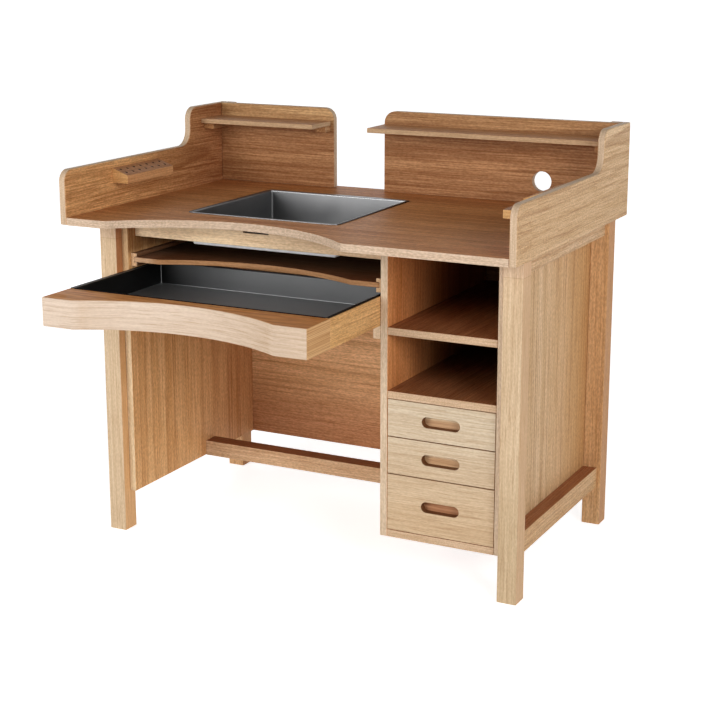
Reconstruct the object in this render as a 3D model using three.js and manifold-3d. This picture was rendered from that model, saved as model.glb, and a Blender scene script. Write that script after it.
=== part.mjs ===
import * as THREE from 'three';
import { mergeVertices } from 'three/addons/utils/BufferGeometryUtils.js';
import loadManifold from 'manifold-3d';

const wasm = await loadManifold();
wasm.setup();

// Jewelers bench in millimetres: x across, y from the worktop's front edge to the back, z up from
// the floor, with x = 0 on the middle plane. The catch drawer stands open by drawerOpen.

// Overall sizes
const benchWidth = 1150;
const benchDepth = 735;
const worktopHeight = 808;
const boardThickness = 18;

// Gaps: between pieces that touch, around pieces that slide, and around the small drawer fronts
const seat = 0.3;
const slideGap = 0.7;
const reveal = 2.4;

// Frame of legs and rails
const legSize = 46.5;
const legInset = 28.5;
const legSetback = 115.5;
const sideRailThickness = 36;
const upperRailHeight = 46;
const stretcherHeight = 51;
const footRailThickness = 46;
const footRailHeight = 40;
const footRailSetback = 466;

// Case boards, and the heights in the cabinet from its bottom board up
const caseSetback = 23;
const floorClearance = 100;
const cabinetWidth = 266;
const deepDrawerHeight = 136;
const shallowDrawerHeight = 89;
const lowerCompartmentHeight = 130;

// Worktop's belly curve, and the apron behind it with the bench-pin slot
const bellyChord = 620;
const bellySagitta = 122;
const bellyCornerRadius = 30;
const apronBehindBelly = 48;
const apronHeight = 46;
const pinSlotWidth = 68;
const pinSlotHeight = 14;

// Folded sheet steel, and the pan that drops into the worktop
const sheetThickness = 1.5;
const panLipWidth = 408;
const panLipLength = 402;
const panLipOverhang = 9.5;
const panDepth = 77;
const panCornerRadius = 8;
const panClearance = 2;
const panBehindApron = 2;

// Gallery boards: the sides step down from the high back part in an S
const galleryHeight = 208.5;
const galleryLowHeight = 112;
const galleryHighLength = 190;
const galleryFrontRadius = 28;
const galleryTopRadius = 32;
const galleryStepRadius = 40;
const galleryBackRadius = 30;
const galleryLeftBackWidth = 344;
const galleryGap = 146;
const battenThickness = 18;
const battenWidth = 28;
const cableHoleDiameter = 50;
const cableHoleHeight = 55;
const cableHoleInset = 192;

// Gallery shelves and what carries them
const galleryShelfThickness = 12;
const galleryShelfDepth = 101;
const galleryShelfHeight = 163;
const leftShelfSetIn = 10;
const cleatHeight = 15;
const cleatWidth = 29;
const cleatLength = 88;
const shelfBlockLength = 30;

// Tool blocks on the gallery sides, with two rows of blind holes square to their sloping tops
const toolBlockLength = 200;
const toolBlockWidth = 44;
const toolBlockBackHeight = 36;
const toolBlockFrontHeight = 20;
const toolBlockSetback = 191;
const leftToolBlockRise = 58;
const rightToolBlockRise = 75;
const toolHoleDiameter = 5;
const toolHoleDepth = 14;
const toolHolePitch = 28;
const toolHoleCount = 7;
const toolHoleInset = 13.5;
const toolHoleRowPitch = 17.5;
const smallBlockLength = 60;
const smallBlockHeight = 18;
const smallBlockRise = 70;
const smallBlockSetback = 75;
const smallBlockHoleCount = 2;

// Pull-out shelf and its grooved runners, hung below the worktop
const pulloutDrop = 85.5;
const pulloutSetIn = 10.5;
const pulloutThickness = 12;
const pulloutLength = 450;
const pulloutChord = 516;
const pulloutSagitta = 60;
const pulloutRunnerWidth = 16;
const pulloutRunnerHeight = 31.5;
const pulloutGrooveDepth = 8;
const pulloutGrooveRise = 9.7;

// Catch drawer under the pull-out shelf
const drawerOpen = 203.5;
const drawerHeadroom = 7.5;
const drawerHeight = 67.2;
const drawerSideGap = 1.7;
const drawerFrontLength = 104;
const drawerBoxLength = 367.5;
const drawerSideThickness = 12;
const drawerChord = 516;
const drawerSagitta = 69;
const drawerBottomThickness = 6;
const drawerBottomRise = 5;
const drawerRunnerWidth = 18.5;
const drawerRunnerHeight = 30;
const linerRimWidth = 10;
const drawerStopWidth = 150;
const drawerStopThickness = 12;
const drawerStopRise = 13;
const drawerStopLap = 30;

// Small drawers
const boxSideThickness = 12;
const boxSideGap = 2;
const boxLength = 460;
const boxUnderGap = 7;
const boxOverGap = 10;
const boxBottomThickness = 5;
const boxBottomRise = 6;
const bottomGrooveDepth = 5;
const fingerSlotLength = 93;
const fingerSlotHeight = 25;
const stripThickness = 8;
const stripHeight = 14;
const stripSetIn = 36;

// Places that follow from the sizes
const halfWidth = benchWidth / 2;
const worktopUnder = worktopHeight - boardThickness;
const caseTop = worktopUnder - seat;
const legOuter = halfWidth - legInset;
const legInner = legOuter - legSize;
const panelOuter = legInner - seat;
const panelInner = panelOuter - boardThickness;
const dividerRight = panelInner - cabinetWidth;
const dividerLeft = dividerRight - boardThickness;
const bayCentre = (dividerLeft - panelInner) / 2;
const bayWidth = dividerLeft + panelInner;
const cabinetCentre = (dividerRight + panelInner) / 2;
const caseFront = legSetback + caseSetback;
const backPanelFront = benchDepth - boardThickness;
const caseBack = backPanelFront - seat;
const apronFront = bellySagitta + apronBehindBelly;
const apronBack = apronFront + boardThickness;
const galleryInner = halfWidth - boardThickness;
const galleryBackRear = benchDepth - battenThickness;
const galleryBackFront = galleryBackRear - boardThickness;
const galleryTop = worktopHeight + galleryHeight;

const oak = { color: 0xcfa678, roughness: 0.55, metalness: 0 };
const drawerOak = { color: 0xd8b78f, roughness: 0.6, metalness: 0 };
const steel = { color: 0x5d5f61, roughness: 0.38, metalness: 0.9 };

const bench = new THREE.Group();
bench.position.set(0, (drawerOpen - benchDepth) / 2, 0);

function addPiece(name, geometry, finish = oak, group = bench) {
  const mesh = new THREE.Mesh(geometry, new THREE.MeshStandardMaterial(finish));
  mesh.name = name;
  group.add(mesh);
}

// A square-edged block, each axis given as [low, high]
function block([x0, x1], [y0, y1], [z0, z1]) {
  const geometry = new THREE.BoxGeometry(x1 - x0, y1 - y0, z1 - z0);
  return geometry.translate((x0 + x1) / 2, (y0 + y1) / 2, (z0 + z1) / 2);
}

// The range [near, far] measured out from the middle plane, on the left (-1) or right (+1) side
function onSide(side, [near, far]) {
  return side < 0 ? [-far, -near] : [near, far];
}

// Extrusions of an outline drawn in plan (x, y), seen from the side (y, z) or from the front (x, z)
function extrude(shape, length, curveSegments) {
  return new THREE.ExtrudeGeometry(shape, { depth: length, bevelEnabled: false, curveSegments });
}

function extrudeUp(shape, [z0, z1], curveSegments = 12) {
  return extrude(shape, z1 - z0, curveSegments).translate(0, 0, z0);
}

const acrossAxes = new THREE.Matrix4().makeBasis(
  new THREE.Vector3(0, 1, 0),
  new THREE.Vector3(0, 0, 1),
  new THREE.Vector3(1, 0, 0),
);

function extrudeAcross(shape, [x0, x1], curveSegments = 8) {
  return extrude(shape, x1 - x0, curveSegments).applyMatrix4(acrossAxes).translate(x0, 0, 0);
}

const backAxes = new THREE.Matrix4().makeBasis(
  new THREE.Vector3(1, 0, 0),
  new THREE.Vector3(0, 0, 1),
  new THREE.Vector3(0, -1, 0),
);

function extrudeBack(shape, [y0, y1], curveSegments = 8) {
  return extrude(shape, y1 - y0, curveSegments).applyMatrix4(backAxes).translate(0, y1, 0);
}

function polygon(...points) {
  return new THREE.Shape(points.map(([x, y]) => new THREE.Vector2(x, y)));
}

function roundedRectangle(path, cx, cy, width, height, radius) {
  const dx = width / 2 - radius;
  const dy = height / 2 - radius;
  path.absarc(cx + dx, cy - dy, radius, -Math.PI / 2, 0, false);
  path.absarc(cx + dx, cy + dy, radius, 0, Math.PI / 2, false);
  path.absarc(cx - dx, cy + dy, radius, Math.PI / 2, Math.PI, false);
  path.absarc(cx - dx, cy - dy, radius, Math.PI, Math.PI * 1.5, false);
  path.closePath();
  return path;
}

// Solids for joining and cutting: vertices are merged on position alone
function toSolid(geometry) {
  const bare = geometry.clone();
  bare.deleteAttribute('normal');
  bare.deleteAttribute('uv');
  const merged = mergeVertices(bare);
  const vertProperties = new Float32Array(merged.attributes.position.array);
  const triVerts = new Uint32Array(merged.index.array);
  return new wasm.Manifold(new wasm.Mesh({ numProp: 3, vertProperties, triVerts }));
}

function toGeometry(solid) {
  const mesh = solid.getMesh();
  const geometry = new THREE.BufferGeometry();
  geometry.setAttribute('position', new THREE.BufferAttribute(mesh.vertProperties, 3));
  geometry.setIndex(new THREE.BufferAttribute(mesh.triVerts, 1));
  geometry.computeVertexNormals();
  return geometry;
}

function join(...geometries) {
  return toGeometry(geometries.map(toSolid).reduce((whole, next) => whole.add(next)));
}

function cut(geometry, ...tools) {
  return toGeometry(tools.map(toSolid).reduce((left, tool) => left.subtract(tool), toSolid(geometry)));
}

// A plan outline whose front edge, at y = front, is hollowed by an arc of the given chord and
// sagitta. Corners where the arc leaves the front edge are rounded if cornerRadius is above zero.
function bellyOutline([x0, x1], [front, back], centre, chord, sagitta, cornerRadius) {
  const radius = (chord ** 2 / 4 + sagitta ** 2) / (2 * sagitta);
  const arcY = front + sagitta - radius;
  const cornerY = front + cornerRadius;
  const reach = Math.sqrt((radius + cornerRadius) ** 2 - (cornerY - arcY) ** 2);
  const turn = Math.atan2(cornerY - arcY, reach);
  const shape = new THREE.Shape();
  shape.moveTo(x0, back);
  shape.lineTo(x0, front);
  if (cornerRadius > 0) {
    shape.absarc(centre - reach, cornerY, cornerRadius, -Math.PI / 2, -turn, false);
  }
  shape.absarc(centre, arcY, radius, Math.PI - turn, turn, true);
  if (cornerRadius > 0) {
    shape.absarc(centre + reach, cornerY, cornerRadius, turn - Math.PI, -Math.PI / 2, false);
  }
  shape.lineTo(x1, front);
  shape.lineTo(x1, back);
  shape.closePath();
  return shape;
}

const sides = [
  { sign: -1, label: 'left' },
  { sign: 1, label: 'right' },
];

// Legs and rails
function buildFrame() {
  const frontLeg = [legSetback, legSetback + legSize];
  const backLeg = [benchDepth - legSize, benchDepth];
  const betweenLegs = [frontLeg[1] + seat, backLeg[0] - seat];
  const railAcross = [panelOuter + seat, panelOuter + seat + sideRailThickness];
  for (const { sign, label } of sides) {
    const legAcross = onSide(sign, [legInner, legOuter]);
    const rail = onSide(sign, railAcross);
    addPiece(`leg_front_${label}`, block(legAcross, frontLeg, [0, caseTop]));
    addPiece(`leg_back_${label}`, block(legAcross, backLeg, [0, caseTop]));
    addPiece(`upper_side_rail_${label}`, block(rail, betweenLegs, [caseTop - upperRailHeight, caseTop]));
    const stretcher = [floorClearance, floorClearance + stretcherHeight];
    addPiece(`lower_stretcher_${label}`, block(rail, betweenLegs, stretcher));
  }
  const footRail = [footRailSetback, footRailSetback + footRailThickness];
  const footRailLevel = [floorClearance, floorClearance + footRailHeight];
  addPiece('foot_rail', block([seat - panelInner, dividerLeft - seat], footRail, footRailLevel));
}

// Side panels, cabinet divider, back panel and cabinet boards
const cabinetFloor = floorClearance + boardThickness;
const cabinetBoardUnder = cabinetFloor + deepDrawerHeight + 2 * shallowDrawerHeight;
const cabinetShelfUnder = cabinetBoardUnder + boardThickness + lowerCompartmentHeight;

function buildCase() {
  const front = [caseFront, caseBack];
  const upright = [floorClearance, caseTop];
  for (const { sign, label } of sides) {
    addPiece(`side_panel_${label}`, block(onSide(sign, [panelInner, panelOuter]), front, upright));
  }
  addPiece('cabinet_divider', block([dividerLeft, dividerRight], front, upright));
  addPiece('back_panel', block([-panelOuter, panelOuter], [backPanelFront, benchDepth], upright));
  const levels = {
    cabinet_bottom: floorClearance,
    cabinet_fixed_board: cabinetBoardUnder,
    cabinet_shelf: cabinetShelfUnder,
  };
  for (const [name, under] of Object.entries(levels)) {
    const across = [dividerRight + seat, panelInner - seat];
    addPiece(name, block(across, front, [under, under + boardThickness]));
  }
}

// Apron across the knee bay: its top edge is notched for the bench pin
function buildApron() {
  const left = seat - panelInner;
  const right = dividerLeft - seat;
  const under = caseTop - apronHeight;
  const slotFloor = worktopUnder - pinSlotHeight;
  const slotLeft = bayCentre - pinSlotWidth / 2;
  const slotRight = bayCentre + pinSlotWidth / 2;
  const outline = polygon(
    [left, under],
    [right, under],
    [right, caseTop],
    [slotRight, caseTop],
    [slotRight, slotFloor],
    [slotLeft, slotFloor],
    [slotLeft, caseTop],
    [left, caseTop],
  );
  addPiece('front_apron', extrudeBack(outline, [apronFront, apronBack]));
}

// Worktop with its belly curve, and the folded pan hung by its lip in the cut-out
function buildTop() {
  const panFront = apronBack + panBehindApron;
  const panMiddle = panFront + panLipLength / 2;
  const bodyWidth = panLipWidth - 2 * panLipOverhang;
  const bodyLength = panLipLength - 2 * panLipOverhang;
  const panFloor = worktopHeight - panDepth;
  const lipUnder = worktopHeight + seat;
  const lipTop = lipUnder + sheetThickness;
  const panPlan = (inset, levels) => {
    const radius = panCornerRadius - inset;
    const width = bodyWidth - 2 * inset;
    const length = bodyLength - 2 * inset;
    const plan = roundedRectangle(new THREE.Shape(), bayCentre, panMiddle, width, length, radius);
    return extrudeUp(plan, levels, 2);
  };

  const reach = galleryInner - seat;
  const plan = bellyOutline(
    [-reach, reach],
    [0, benchDepth],
    bayCentre,
    bellyChord,
    bellySagitta,
    bellyCornerRadius,
  );
  const opening = panPlan(-panClearance, [worktopUnder - boardThickness, lipTop]);
  addPiece('worktop', cut(extrudeUp(plan, [worktopUnder, worktopHeight]), opening));

  const tub = panPlan(0, [panFloor, lipTop]);
  const lip = panPlan(-panLipOverhang, [lipUnder, lipTop]);
  const hollow = panPlan(sheetThickness, [panFloor + sheetThickness, lipTop + panDepth]);
  addPiece('worktop_pan', cut(join(tub, lip), hollow), steel);
}

// Gallery side: low at the front, stepping up in an S to the high back part
function gallerySideOutline() {
  const low = worktopHeight + galleryLowHeight;
  const step = benchDepth - galleryHighLength;
  const shape = new THREE.Shape();
  shape.moveTo(0, worktopUnder);
  shape.lineTo(benchDepth, worktopUnder);
  shape.lineTo(benchDepth, galleryTop);
  shape.absarc(
    step + galleryTopRadius,
    galleryTop - galleryTopRadius,
    galleryTopRadius,
    Math.PI / 2,
    Math.PI,
    false,
  );
  shape.absarc(step - galleryStepRadius, low + galleryStepRadius, galleryStepRadius, 0, -Math.PI / 2, true);
  shape.absarc(galleryFrontRadius, low - galleryFrontRadius, galleryFrontRadius, Math.PI / 2, Math.PI, false);
  shape.closePath();
  return shape;
}

// Gallery back board standing on the worktop, its free top corner rounded
function galleryBackOutline(fixedEnd, freeEnd) {
  const foot = worktopHeight + seat;
  const inward = Math.sign(fixedEnd - freeEnd);
  const shape = new THREE.Shape();
  shape.moveTo(fixedEnd, foot);
  shape.lineTo(fixedEnd, galleryTop);
  shape.absarc(
    freeEnd + inward * galleryBackRadius,
    galleryTop - galleryBackRadius,
    galleryBackRadius,
    Math.PI / 2,
    inward > 0 ? Math.PI : 0,
    inward < 0,
  );
  shape.lineTo(freeEnd, foot);
  shape.closePath();
  return shape;
}

const leftBackEnd = galleryLeftBackWidth - galleryInner + seat;
const rightBackEnd = leftBackEnd + galleryGap;
const shelfUnder = worktopHeight + galleryShelfHeight;
const shelfBack = galleryBackFront - seat;

function buildGallery() {
  const endFace = galleryInner - seat;
  const backThrough = [galleryBackFront, galleryBackRear];
  const left = galleryBackOutline(-endFace, leftBackEnd);
  const right = galleryBackOutline(endFace, rightBackEnd);
  const cableHole = new THREE.Path();
  const holeX = galleryInner - cableHoleInset;
  cableHole.absarc(holeX, worktopHeight + cableHoleHeight, cableHoleDiameter / 2, 0, Math.PI * 2, false);
  right.holes.push(cableHole);
  addPiece('gallery_back_left', extrudeBack(left, backThrough));
  addPiece('gallery_back_right', extrudeBack(right, backThrough, 16));

  const battenDepth = [galleryBackRear + seat, benchDepth];
  const battenUp = [worktopHeight + seat, galleryTop];
  for (const { sign, label } of sides) {
    const board = onSide(sign, [galleryInner, halfWidth]);
    addPiece(`gallery_side_${label}`, extrudeAcross(gallerySideOutline(), board));
    const batten = onSide(sign, [endFace - battenWidth, endFace]);
    addPiece(`gallery_batten_${label}`, block(batten, battenDepth, battenUp));
  }
}

// Shelves along the gallery back, carried on cleats under their ends
function buildGalleryShelves() {
  const endFace = galleryInner - seat;
  const along = [shelfBack - galleryShelfDepth, shelfBack];
  const level = [shelfUnder, shelfUnder + galleryShelfThickness];
  addPiece('gallery_shelf_left', block([-endFace, leftBackEnd - leftShelfSetIn], along, level));
  addPiece('gallery_shelf_right', block([rightBackEnd, endFace], along, level));

  const cleatLevel = [shelfUnder - seat - cleatHeight, shelfUnder - seat];
  const cleatAlong = [shelfBack - cleatLength, shelfBack];
  for (const { sign, label } of sides) {
    const cleat = onSide(sign, [endFace - cleatWidth, endFace]);
    addPiece(`shelf_cleat_${label}`, block(cleat, cleatAlong, cleatLevel));
  }
  const blockEnd = leftBackEnd - leftShelfSetIn;
  const blockAcross = [blockEnd - cleatWidth, blockEnd];
  addPiece('shelf_end_block', block(blockAcross, [shelfBack - shelfBlockLength, shelfBack], cleatLevel));
}

// Drill for a blind tool hole, upright and with its middle at the hole's mouth
function toolDrill() {
  const radius = toolHoleDiameter / 2;
  return new THREE.CylinderGeometry(radius, radius, 2 * toolHoleDepth, 10).rotateX(Math.PI / 2);
}

// Tool block on a gallery side: a wedge, high against the board, drilled square to its top
function toolBlock(sign, rise) {
  const base = worktopHeight + rise;
  const wall = sign * (galleryInner - seat);
  const inner = wall - sign * toolBlockWidth;
  const wedge = polygon(
    [wall, base],
    [inner, base],
    [inner, base + toolBlockFrontHeight],
    [wall, base + toolBlockBackHeight],
  );
  const along = [toolBlockSetback, toolBlockSetback + toolBlockLength];
  const slope = Math.atan2(toolBlockBackHeight - toolBlockFrontHeight, toolBlockWidth);
  const firstHole = (toolBlockLength - (toolHoleCount - 1) * toolHolePitch) / 2;
  const drills = [];
  for (let row = 0; row < 2; row += 1) {
    const fromWall = toolHoleInset + row * toolHoleRowPitch;
    const surface = base + toolBlockBackHeight - fromWall * Math.tan(slope);
    for (let i = 0; i < toolHoleCount; i += 1) {
      const holeY = along[0] + firstHole + i * toolHolePitch;
      drills.push(toolDrill().rotateY(-sign * slope).translate(wall - sign * fromWall, holeY, surface));
    }
  }
  return cut(extrudeBack(wedge, along), ...drills);
}

// Small level tool block in front of the right one, drilled straight down
function smallToolBlock() {
  const base = worktopHeight + smallBlockRise;
  const wall = galleryInner - seat;
  const along = [smallBlockSetback, smallBlockSetback + smallBlockLength];
  const firstHole = (smallBlockLength - (smallBlockHoleCount - 1) * toolHolePitch) / 2;
  const drills = [];
  for (let i = 0; i < smallBlockHoleCount; i += 1) {
    const holeX = wall - toolBlockWidth + toolHoleInset;
    const holeY = along[0] + firstHole + i * toolHolePitch;
    drills.push(toolDrill().translate(holeX, holeY, base + smallBlockHeight));
  }
  return cut(block([wall - toolBlockWidth, wall], along, [base, base + smallBlockHeight]), ...drills);
}

function buildToolBlocks() {
  addPiece('tool_block_left', toolBlock(-1, leftToolBlockRise));
  addPiece('tool_block_right', toolBlock(1, rightToolBlockRise));
  addPiece('tool_block_small', smallToolBlock());
}

// Pull-out shelf: its side edges slide in grooves cut in two runners
const pulloutRunnerTop = worktopUnder - pulloutDrop;
const pulloutRunnerUnder = pulloutRunnerTop - pulloutRunnerHeight;

function buildPullout() {
  const front = caseFront + pulloutSetIn;
  const grooveFloor = pulloutRunnerUnder + pulloutGrooveRise;
  const grooveRoof = grooveFloor + pulloutThickness + 2 * slideGap;
  for (const { sign, label } of sides) {
    const wall = bayCentre + sign * (bayWidth / 2 - seat);
    const inner = wall - sign * pulloutRunnerWidth;
    const groove = inner + sign * pulloutGrooveDepth;
    const section = polygon(
      [wall, pulloutRunnerUnder],
      [inner, pulloutRunnerUnder],
      [inner, grooveFloor],
      [groove, grooveFloor],
      [groove, grooveRoof],
      [inner, grooveRoof],
      [inner, pulloutRunnerTop],
      [wall, pulloutRunnerTop],
    );
    addPiece(`pullout_runner_${label}`, extrudeBack(section, [front, caseBack]));
  }
  const reach = bayWidth / 2 - seat - pulloutRunnerWidth + pulloutGrooveDepth - slideGap;
  const across = [bayCentre - reach, bayCentre + reach];
  const along = [front, front + pulloutLength];
  const plan = bellyOutline(across, along, bayCentre, pulloutChord, pulloutSagitta, 0);
  const level = [grooveFloor + slideGap, grooveFloor + slideGap + pulloutThickness];
  addPiece('pullout_shelf', extrudeUp(plan, level));
}

// Catch drawer in its own group: x from the bay's middle, y from the front's ends, z from its underside
const drawerUnder = pulloutRunnerUnder - drawerHeadroom - drawerHeight;

function buildCatchDrawer() {
  const runnerLevel = [drawerUnder - seat - drawerRunnerHeight, drawerUnder - seat];
  for (const { sign, label } of sides) {
    const wall = bayCentre + sign * (bayWidth / 2 - seat);
    const across = [wall, wall - sign * drawerRunnerWidth].sort((a, b) => a - b);
    addPiece(`drawer_runner_${label}`, block(across, [caseFront, caseBack], runnerLevel));
  }

  const drawer = new THREE.Group();
  drawer.position.set(bayCentre, -drawerOpen, drawerUnder);
  bench.add(drawer);
  const reach = bayWidth / 2 - drawerSideGap;
  const sideInner = reach - drawerSideThickness;
  const boxFront = drawerFrontLength + seat;
  const boxBack = boxFront + drawerBoxLength;
  const backInner = boxBack - drawerSideThickness;
  const bottomLevel = [drawerBottomRise, drawerBottomRise + drawerBottomThickness];
  const grooveLevel = [bottomLevel[0] - seat, bottomLevel[1] + seat];
  const grooveReach = sideInner + bottomGrooveDepth;

  const plan = bellyOutline([-reach, reach], [0, drawerFrontLength], 0, drawerChord, drawerSagitta, 0);
  const grooveAlong = [drawerFrontLength - bottomGrooveDepth, boxBack];
  const frontGroove = block([-grooveReach, grooveReach], grooveAlong, grooveLevel);
  addPiece('drawer_front', cut(extrudeUp(plan, [0, drawerHeight]), frontGroove), oak, drawer);

  for (const { sign, label } of sides) {
    const section = polygon(
      [sign * reach, 0],
      [sign * sideInner, 0],
      [sign * sideInner, grooveLevel[0]],
      [sign * grooveReach, grooveLevel[0]],
      [sign * grooveReach, grooveLevel[1]],
      [sign * sideInner, grooveLevel[1]],
      [sign * sideInner, drawerHeight],
      [sign * reach, drawerHeight],
    );
    addPiece(`drawer_side_${label}`, extrudeBack(section, [boxFront, boxBack]), oak, drawer);
  }
  const within = sideInner - seat;
  const back = block([-within, within], [backInner, boxBack], [grooveLevel[1], drawerHeight]);
  addPiece('drawer_back', back, oak, drawer);
  const stopAlong = [boxBack + seat, boxBack + seat + drawerStopThickness];
  const stopLevel = [drawerHeight - drawerStopLap, drawerHeight + drawerStopRise];
  const stop = block([-drawerStopWidth / 2, drawerStopWidth / 2], stopAlong, stopLevel);
  addPiece('drawer_stop', stop, oak, drawer);
  const bottomReach = grooveReach - seat;
  const bottomAlong = [grooveAlong[0] + seat, boxBack];
  const bottom = block([-bottomReach, bottomReach], bottomAlong, bottomLevel);
  addPiece('drawer_bottom', bottom, drawerOak, drawer);

  const linerFloor = bottomLevel[1] + seat;
  const linerBack = backInner - seat;
  const rimLevel = [drawerHeight + seat, drawerHeight + seat + sheetThickness];
  const tub = block([-within, within], [boxFront, linerBack], [linerFloor, rimLevel[1]]);
  const rimReach = within + linerRimWidth;
  const rim = block([-rimReach, rimReach], [boxFront, linerBack + linerRimWidth], rimLevel);
  const hollowReach = within - sheetThickness;
  const hollow = block(
    [-hollowReach, hollowReach],
    [boxFront + sheetThickness, linerBack - sheetThickness],
    [linerFloor + sheetThickness, rimLevel[1] + drawerHeight],
  );
  addPiece('drawer_liner', cut(join(tub, rim), hollow), steel, drawer);
}

// Small drawer in its own group: x from the cabinet's middle, y from the front face, z from the
// bottom of its space. The box is grooved inside for its bottom and outside for the runner strips.
function buildSmallDrawer(label, spaceUnder, spaceHeight) {
  const drawer = new THREE.Group();
  drawer.position.set(cabinetCentre, caseFront, spaceUnder);
  bench.add(drawer);

  const frontReach = (cabinetWidth - reveal) / 2;
  const middle = spaceHeight / 2;
  const frontHeight = spaceHeight - reveal;
  const front = polygon(
    [-frontReach, middle - frontHeight / 2],
    [frontReach, middle - frontHeight / 2],
    [frontReach, middle + frontHeight / 2],
    [-frontReach, middle + frontHeight / 2],
  );
  const slotRadius = fingerSlotHeight / 2;
  const slot = new THREE.Path();
  front.holes.push(roundedRectangle(slot, 0, middle, fingerSlotLength, fingerSlotHeight, slotRadius));
  addPiece(`${label}_drawer_front`, extrudeBack(front, [0, boardThickness], 5), oak, drawer);

  const reach = cabinetWidth / 2 - boxSideGap;
  const inner = reach - boxSideThickness;
  const boxFront = boardThickness + seat;
  const boxBack = boxFront + boxLength;
  const hollowFront = boxFront + boxSideThickness;
  const hollowBack = boxBack - boxSideThickness;
  const boxLevel = [boxUnderGap, spaceHeight - boxOverGap];
  const bottomLevel = [boxLevel[0] + boxBottomRise, boxLevel[0] + boxBottomRise + boxBottomThickness];
  const grooveLevel = [bottomLevel[0] - seat, bottomLevel[1] + seat];
  const grooveReach = inner + bottomGrooveDepth;
  const past = boxBack + boxSideThickness;
  const through = [-spaceHeight, 2 * spaceHeight];
  const stripReach = cabinetWidth / 2 - seat - stripThickness;
  const stripLevel = [middle - stripHeight / 2, middle + stripHeight / 2];
  const stripGroove = [stripLevel[0] - slideGap, stripLevel[1] + slideGap];
  const stripGrooveFront = stripSetIn - slideGap;
  const box = cut(
    block([-reach, reach], [boxFront, boxBack], boxLevel),
    block([-inner, inner], [hollowFront, hollowBack], through),
    block([-grooveReach, grooveReach], [hollowFront - bottomGrooveDepth, past], grooveLevel),
    block([-inner, inner], [hollowBack - boxSideThickness, past], [through[0], grooveLevel[1]]),
    ...sides.map(({ sign }) => block(
      onSide(sign, [stripReach - slideGap, cabinetWidth]),
      [stripGrooveFront, past],
      stripGroove,
    )),
  );
  addPiece(`${label}_drawer_box`, box, drawerOak, drawer);
  const bottomReach = grooveReach - seat;
  const bottomFront = hollowFront - bottomGrooveDepth + seat;
  const bottom = block([-bottomReach, bottomReach], [bottomFront, boxBack], bottomLevel);
  addPiece(`${label}_drawer_bottom`, bottom, drawerOak, drawer);

  for (const { sign, label: sideLabel } of sides) {
    const strip = onSide(sign, [stripReach, cabinetWidth / 2 - seat]);
    const along = [stripSetIn, caseBack - caseFront];
    addPiece(`${label}_drawer_strip_${sideLabel}`, block(strip, along, stripLevel), oak, drawer);
  }
}

buildFrame();
buildCase();
buildApron();
buildTop();
buildGallery();
buildGalleryShelves();
buildToolBlocks();
buildPullout();
buildCatchDrawer();
buildSmallDrawer('bottom', cabinetFloor, deepDrawerHeight);
buildSmallDrawer('middle', cabinetFloor + deepDrawerHeight, shallowDrawerHeight);
buildSmallDrawer('top', cabinetFloor + deepDrawerHeight + shallowDrawerHeight, shallowDrawerHeight);

export default bench;
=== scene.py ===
import math

import bpy
import numpy as np
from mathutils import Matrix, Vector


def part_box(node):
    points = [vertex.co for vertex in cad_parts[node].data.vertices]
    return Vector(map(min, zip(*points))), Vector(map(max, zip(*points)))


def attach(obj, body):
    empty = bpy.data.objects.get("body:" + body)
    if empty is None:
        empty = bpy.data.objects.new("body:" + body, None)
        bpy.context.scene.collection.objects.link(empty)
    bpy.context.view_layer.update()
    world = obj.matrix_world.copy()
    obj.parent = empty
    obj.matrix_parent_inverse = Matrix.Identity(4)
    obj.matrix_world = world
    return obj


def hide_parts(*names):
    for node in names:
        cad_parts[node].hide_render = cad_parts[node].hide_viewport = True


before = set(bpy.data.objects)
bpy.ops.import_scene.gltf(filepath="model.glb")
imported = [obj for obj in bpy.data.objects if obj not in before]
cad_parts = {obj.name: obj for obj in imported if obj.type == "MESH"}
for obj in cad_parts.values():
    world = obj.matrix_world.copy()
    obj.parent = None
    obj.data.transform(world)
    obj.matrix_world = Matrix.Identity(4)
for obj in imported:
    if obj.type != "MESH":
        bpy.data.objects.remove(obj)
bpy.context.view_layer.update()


# Legs
# Four square legs of solid oak, planed from straight-grained lengths that stand upright. The rails
# and panels are glued to them, and their arrises are broken with a sanding block.

def add_node(tree, kind, inputs=None, **settings):
    """A new node with its settings. Each input, by name or number, is a value or another node's output."""
    node = tree.nodes.new(kind)
    for name, value in settings.items():
        setattr(node, name, value)
    for socket, value in (inputs or {}).items():
        if isinstance(value, bpy.types.NodeSocket):
            tree.links.new(value, node.inputs[socket])
        else:
            node.inputs[socket].default_value = value
    return node


def maths(tree, operation, *terms):
    """The result of one sum on numbers or outputs."""
    return add_node(tree, "ShaderNodeMath", dict(enumerate(terms)), operation=operation).outputs[0]


def vector_maths(tree, operation, *terms):
    """The result of one sum on vectors, colours or outputs, part by part."""
    return add_node(tree, "ShaderNodeVectorMath", dict(enumerate(terms)), operation=operation).outputs[0]


def scaled(tree, vector, scale):
    """A vector or colour output times three plain numbers."""
    return vector_maths(tree, "MULTIPLY", vector, scale)


def parts(tree, vector):
    """The x, y and z of a vector output."""
    return add_node(tree, "ShaderNodeSeparateXYZ", {0: vector}).outputs


def ramp(tree, value, start, end, low=0.0, high=1.0):
    """A soft step: low up to start, high from end on, and an S curve between them."""
    span = {"Value": value, "From Min": start, "From Max": end, "To Min": low, "To Max": high}
    return add_node(tree, "ShaderNodeMapRange", span, interpolation_type="SMOOTHSTEP").outputs[0]


def blend(tree, amount, first, second):
    """The mix of two colours: first where the amount is 0, second where it is 1."""
    mix = add_node(tree, "ShaderNodeMix", {"Factor": amount}, data_type="RGBA")
    for socket, colour in ((mix.inputs[6], first), (mix.inputs[7], second)):
        if isinstance(colour, bpy.types.NodeSocket):
            tree.links.new(colour, socket)
        else:
            socket.default_value = (*colour, 1.0)
    return mix.outputs[2]


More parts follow.
